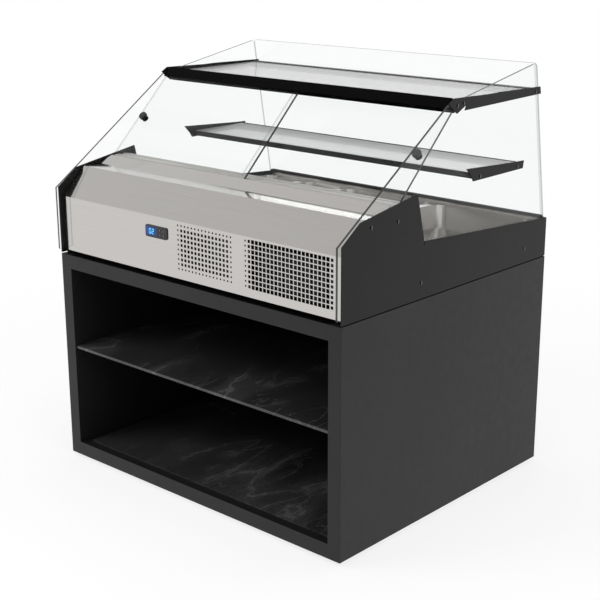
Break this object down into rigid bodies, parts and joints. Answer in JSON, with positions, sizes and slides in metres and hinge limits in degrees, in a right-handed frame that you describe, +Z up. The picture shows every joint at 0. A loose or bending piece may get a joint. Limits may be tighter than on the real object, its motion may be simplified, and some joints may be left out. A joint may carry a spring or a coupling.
{
  "type": "refrigerated display case",
  "caption": "Open cabinet under a refrigerated counter case with sliding glass doors, glass shelves and food pans.",
  "frame": {"origin": "on the floor, under the middle of the whole case", "axes": "+Z up, -Y towards the operator's side with the sliding doors and vents, +X to the operator's right"},
  "size_m": [1, 0.852, 1.1142],
  "materials": {
    "laminate": "black laminated board, satin",
    "stone": "polished black stone look",
    "black_steel": "black powder coat, satin",
    "stainless": "fine brushed stainless steel",
    "clear_glass": "clear polished float glass",
    "frosted_glass": "light grey translucent glass",
    "black_plastic": "fine satin",
    "display": "glowing blue panel",
    "rubber": "matt",
    "foam": "cut polyurethane foam",
    "copper": "drawn copper",
    "aluminium": "plain",
    "zinc": "zinc plated",
    "beech": "plain beech",
    "grey_plastic": "plain"
  },
  "bodies": {
    "case": {"left_side_board": "laminate", "right_side_board": "laminate", "top_board": "laminate", "bottom_board": "laminate", "back_board": "laminate", "cabinet_dowels": "beech", "stone_deck": "stone", "stone_shelf": "stone", "shelf_pins": "zinc", "levelling_feet": "black_plastic", "floor_tray": "black_steel", "module_bolts": "zinc", "inner_side_plates": "black_steel", "left_side_panel": "black_steel", "right_side_panel": "black_steel", "countersunk_screws": "black_steel", "left_side_glass": "clear_glass", "right_side_glass": "clear_glass", "glass_setting_blocks": "rubber", "rear_panel": "black_steel", "rear_glass_rail": "black_steel", "rear_glass": "clear_glass", "cable_gland": "black_plastic", "stainless_fascia": "stainless", "bulkhead": "stainless", "lower_door_track": "stainless", "front_inner_panel": "stainless", "foam_insulation": "foam", "well_tub": "stainless", "pan_support_bars": "stainless", "upper_door_track": "black_steel", "top_shelf_glass": "frosted_glass", "shelf_rails": "black_steel", "top_shelf_brackets": "black_steel", "middle_shelf_glass": "clear_glass", "middle_shelf_brackets": "black_steel", "thermostat_housing": "black_plastic", "thermostat_display": "display", "compressor": "black_steel", "compressor_grommets": "rubber", "condenser_coil": "aluminium", "fan_shroud": "aluminium", "fan_motor": "black_steel", "filter_drier": "copper", "refrigerant_pipes": "copper", "control_box": "grey_plastic", "temperature_probe": "zinc"},
    "left_door": {"left_door_glass": "clear_glass", "left_door_knob": "black_plastic"},
    "right_door": {"right_door_glass": "clear_glass", "right_door_knob": "black_plastic"},
    "narrow_pan_left": {"narrow_pan_left": "stainless"},
    "narrow_pan_right": {"narrow_pan_right": "stainless"},
    "wide_pan_left": {"wide_pan_left": "stainless"},
    "wide_pan_right": {"wide_pan_right": "stainless"},
    "condenser_fan": {"condenser_fan": "grey_plastic"},
    "key_light": {"key_light": "black_plastic"},
    "key_power": {"key_power": "black_plastic"},
    "key_down": {"key_down": "black_plastic"},
    "key_up": {"key_up": "black_plastic"}
  },
  "joints": [
    {"name": "left_door_slide", "type": "slide", "parent": "case", "child": "left_door", "axis": [1, 0, 0], "range_m": [0, 0.46]},
    {"name": "right_door_slide", "type": "slide", "parent": "case", "child": "right_door", "axis": [1, 0, 0], "range_m": [-0.46, 0]},
    {"name": "narrow_pan_left_lift", "type": "slide", "parent": "case", "child": "narrow_pan_left", "axis": [0, -0.1002, 0.995], "range_m": [0, 0.08]},
    {"name": "narrow_pan_right_lift", "type": "slide", "parent": "case", "child": "narrow_pan_right", "axis": [0, -0.1002, 0.995], "range_m": [0, 0.08]},
    {"name": "wide_pan_left_lift", "type": "slide", "parent": "case", "child": "wide_pan_left", "axis": [0, -0.1002, 0.995], "range_m": [0, 0.08]},
    {"name": "wide_pan_right_lift", "type": "slide", "parent": "case", "child": "wide_pan_right", "axis": [0, -0.1002, 0.995], "range_m": [0, 0.08]},
    {"name": "condenser_fan_spin", "type": "hinge", "parent": "case", "child": "condenser_fan", "pos_m": [0.326, -0.346, 0.663], "axis": [0, 1, 0], "continuous": true},
    {"name": "key_light_press", "type": "slide", "parent": "case", "child": "key_light", "axis": [0, 1, 0], "range_m": [0, 0.0008], "stiffness_N_per_m": 300, "springref_m": -0.0005},
    {"name": "key_power_press", "type": "slide", "parent": "case", "child": "key_power", "axis": [0, 1, 0], "range_m": [0, 0.0008], "stiffness_N_per_m": 300, "springref_m": -0.0005},
    {"name": "key_down_press", "type": "slide", "parent": "case", "child": "key_down", "axis": [0, 1, 0], "range_m": [0, 0.0008], "stiffness_N_per_m": 300, "springref_m": -0.0005},
    {"name": "key_up_press", "type": "slide", "parent": "case", "child": "key_up", "axis": [0, 1, 0], "range_m": [0, 0.0008], "stiffness_N_per_m": 300, "springref_m": -0.0005}
  ]
}
